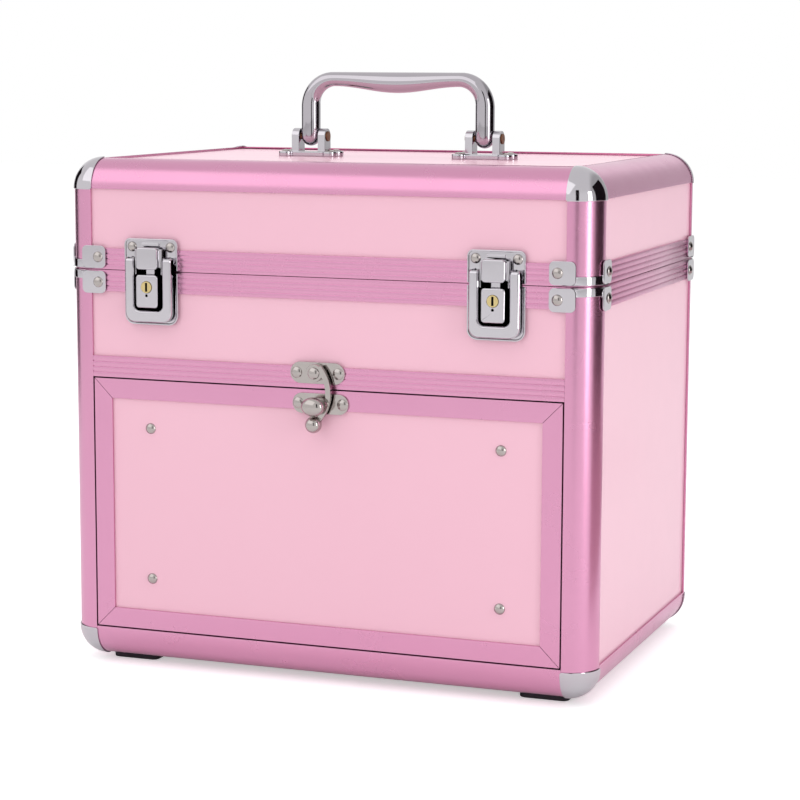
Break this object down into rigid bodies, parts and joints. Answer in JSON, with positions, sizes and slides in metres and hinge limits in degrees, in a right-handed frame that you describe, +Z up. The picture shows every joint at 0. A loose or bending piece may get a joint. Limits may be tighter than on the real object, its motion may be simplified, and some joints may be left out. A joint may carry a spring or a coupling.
{
  "type": "makeup storage case with drawer",
  "caption": "Boxy aluminium-railed makeup case with a lift-up lid, front drawer, draw latches, swing hook and folding top handle.",
  "frame": {"origin": "on the floor, under the middle of the whole width and depth", "axes": "+Z up, -Y towards the front with the drawer and latches, +X to the right seen from the front"},
  "size_m": [0.3352, 0.2567, 0.3584],
  "materials": {
    "pink_laminate": "semi-gloss laminate",
    "pink_anodised": "satin anodised",
    "plated_steel": "bright nickel-chrome plate",
    "zinc_steel": "zinc plated",
    "key_brass": "turned",
    "aged_pin": "dull, peened ends",
    "dark_rubber": "moulded, matt",
    "black_board": "faced fibreboard",
    "black_lining": "flocked foam"
  },
  "bodies": {
    "case": {"bottom_panel": "pink_laminate", "back_panel": "pink_laminate", "left_side_panel": "pink_laminate", "right_side_panel": "pink_laminate", "upper_front_panel": "pink_laminate", "cross_rail": "pink_anodised", "compartment_floor": "black_board", "compartment_lining": "black_lining", "body_corner_posts": "pink_anodised", "body_rim_rails": "pink_anodised", "bottom_rails": "pink_anodised", "runner_boards": "black_board", "rubber_feet": "dark_rubber", "bottom_corner_caps": "plated_steel", "body_corner_clips": "plated_steel", "body_clip_screws": "plated_steel", "body_hinge_leaves": "plated_steel", "hinge_pins": "plated_steel", "latch_bases": "plated_steel", "lock_bodies": "plated_steel", "lever_pins": "plated_steel", "hook_plate": "plated_steel", "hook_screws": "plated_steel", "runner_channels": "zinc_steel"},
    "lid": {"lid_top_panel": "pink_laminate", "lid_front_panel": "pink_laminate", "lid_back_panel": "pink_laminate", "lid_side_panels": "pink_laminate", "lid_top_rails": "pink_anodised", "lid_corner_posts": "pink_anodised", "lid_rim_rails": "pink_anodised", "lid_lining": "black_lining", "lid_corner_caps": "plated_steel", "lid_corner_clips": "plated_steel", "lid_clip_screws": "plated_steel", "lid_hinge_leaves": "plated_steel", "keeper_plates": "plated_steel", "keeper_rivets": "plated_steel", "handle_brackets": "plated_steel", "handle_pins": "aged_pin", "bracket_screws": "plated_steel"},
    "drawer": {"drawer_frame": "pink_anodised", "drawer_front_panel": "pink_laminate", "drawer_inner_front": "black_board", "drawer_sides": "black_board", "drawer_back": "black_board", "drawer_floor": "black_board", "drawer_bolts": "plated_steel", "drawer_nuts": "zinc_steel", "knob_plate": "plated_steel", "knob_screws": "plated_steel", "runner_bars": "zinc_steel"},
    "handle": {"handle_bail": "plated_steel"},
    "hook": {"hook_arm": "plated_steel"},
    "left_lever": {"left_latch_lever": "plated_steel"},
    "right_lever": {"right_latch_lever": "plated_steel"},
    "left_claw": {"left_latch_claw": "plated_steel"},
    "right_claw": {"right_latch_claw": "plated_steel"},
    "left_plug": {"left_key_plug": "key_brass"},
    "right_plug": {"right_key_plug": "key_brass"}
  },
  "joints": [
    {"name": "lid_hinge", "type": "hinge", "parent": "case", "child": "lid", "pos_m": [0, 0.12625, 0.2417], "axis": [-1, 0, 0], "range_deg": [0, 100]},
    {"name": "drawer_slide", "type": "slide", "parent": "case", "child": "drawer", "axis": [0, -1, 0], "range_m": [0, 0.15]},
    {"name": "handle_swing", "type": "hinge", "parent": "lid", "child": "handle", "pos_m": [0, 0.01145, 0.3184], "axis": [1, 0, 0], "range_deg": [-90, 90]},
    {"name": "hook_swing", "type": "hinge", "parent": "case", "child": "hook", "pos_m": [-0.0018, -0.1184, 0.1866], "axis": [0, -1, 0], "range_deg": [0, 120]},
    {"name": "left_lever_swing", "type": "hinge", "parent": "case", "child": "left_lever", "pos_m": [-0.1072, -0.11785, 0.2476], "axis": [-1, 0, 0], "range_deg": [0, 100]},
    {"name": "left_claw_swing", "type": "hinge", "parent": "left_lever", "child": "left_claw", "pos_m": [-0.1072, -0.11785, 0.2416], "axis": [-1, 0, 0], "range_deg": [-100, 0]},
    {"name": "left_key_turn", "type": "hinge", "parent": "case", "child": "left_plug", "pos_m": [-0.1072, -0.11905, 0.2329], "axis": [0, -1, 0], "range_deg": [0, 90]},
    {"name": "right_lever_swing", "type": "hinge", "parent": "case", "child": "right_lever", "pos_m": [0.1072, -0.11785, 0.2476], "axis": [-1, 0, 0], "range_deg": [0, 100]},
    {"name": "right_claw_swing", "type": "hinge", "parent": "right_lever", "child": "right_claw", "pos_m": [0.1072, -0.11785, 0.2416], "axis": [-1, 0, 0], "range_deg": [-100, 0]},
    {"name": "right_key_turn", "type": "hinge", "parent": "case", "child": "right_plug", "pos_m": [0.1072, -0.11905, 0.2329], "axis": [0, -1, 0], "range_deg": [0, 90]}
  ],
  "couplings": [
    {"joint": "left_claw_swing", "follows": "left_lever_swing", "ratio": -1},
    {"joint": "right_claw_swing", "follows": "right_lever_swing", "ratio": -1}
  ]
}
